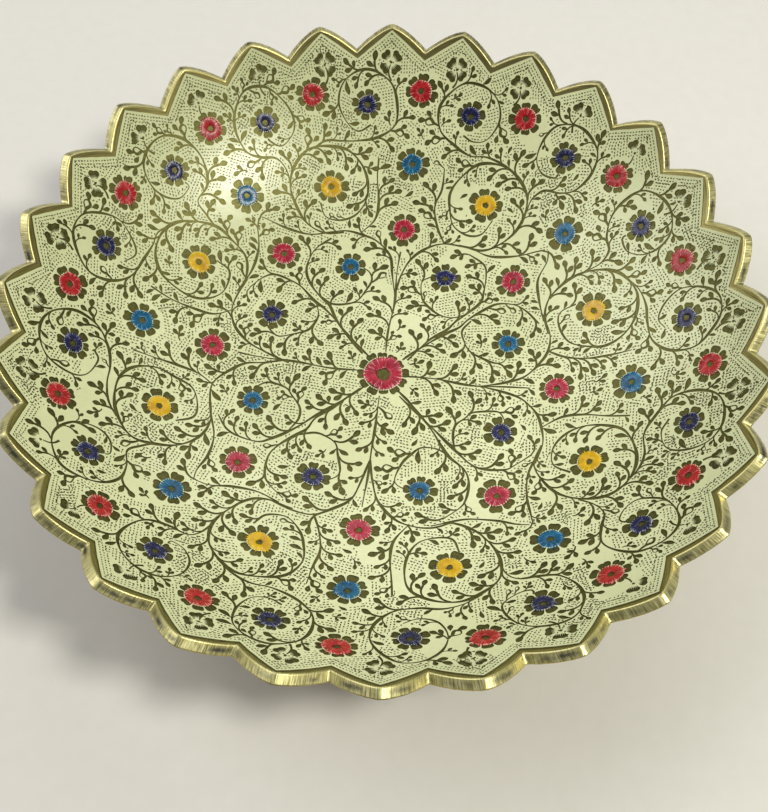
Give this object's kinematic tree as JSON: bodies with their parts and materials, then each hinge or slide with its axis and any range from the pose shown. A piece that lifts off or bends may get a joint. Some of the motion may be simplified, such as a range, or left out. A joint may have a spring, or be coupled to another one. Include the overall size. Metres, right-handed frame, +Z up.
{
  "type": "decorative bowl",
  "caption": "Shallow round brass bowl on a soldered foot ring, with a saw-toothed rim and an engraved cream enamel inside set with small coloured enamel flowers.",
  "frame": {"origin": "middle of the circle that the foot ring stands on", "axes": "+Z up out of the mouth of the bowl; a notch of the rim lies on +X, +Y, -X and -Y; -Y is the side nearest the viewer in the picture"},
  "size_m": [0.2524, 0.2524, 0.0628],
  "materials": {
    "cast_brass": "engraved, filed and polished",
    "turned_brass": "turned",
    "brazing_alloy": "as brazed",
    "cream_enamel": "glossy stoved enamel",
    "pink_enamel": "glossy enamel",
    "red_enamel": "glossy enamel",
    "yellow_enamel": "glossy enamel",
    "sky_blue_enamel": "glossy enamel",
    "navy_enamel": "glossy enamel"
  },
  "bodies": {
    "root": {"bowl_shell": "cast_brass", "foot_ring": "turned_brass", "foot_solder": "brazing_alloy", "ground_enamel": "cream_enamel", "flower_centre": "pink_enamel", "flower_inner_1": "navy_enamel", "flower_inner_2": "sky_blue_enamel", "flower_inner_3": "navy_enamel", "flower_inner_4": "sky_blue_enamel", "flower_inner_5": "navy_enamel", "flower_inner_6": "sky_blue_enamel", "flower_inner_7": "navy_enamel", "flower_inner_8": "sky_blue_enamel", "flower_pink_1": "pink_enamel", "flower_pink_2": "pink_enamel", "flower_pink_3": "pink_enamel", "flower_pink_4": "pink_enamel", "flower_pink_5": "pink_enamel", "flower_pink_6": "pink_enamel", "flower_pink_7": "pink_enamel", "flower_pink_8": "pink_enamel", "flower_yellow_1": "yellow_enamel", "flower_yellow_2": "yellow_enamel", "flower_yellow_3": "yellow_enamel", "flower_yellow_4": "yellow_enamel", "flower_yellow_5": "yellow_enamel", "flower_yellow_6": "yellow_enamel", "flower_yellow_7": "yellow_enamel", "flower_yellow_8": "yellow_enamel", "flower_blue_1": "sky_blue_enamel", "flower_blue_2": "sky_blue_enamel", "flower_blue_3": "sky_blue_enamel", "flower_blue_4": "sky_blue_enamel", "flower_blue_5": "sky_blue_enamel", "flower_blue_6": "sky_blue_enamel", "flower_blue_7": "sky_blue_enamel", "flower_blue_8": "sky_blue_enamel", "flowers_rim_red": "red_enamel", "flowers_rim_navy": "navy_enamel"}
  },
  "joints": []
}
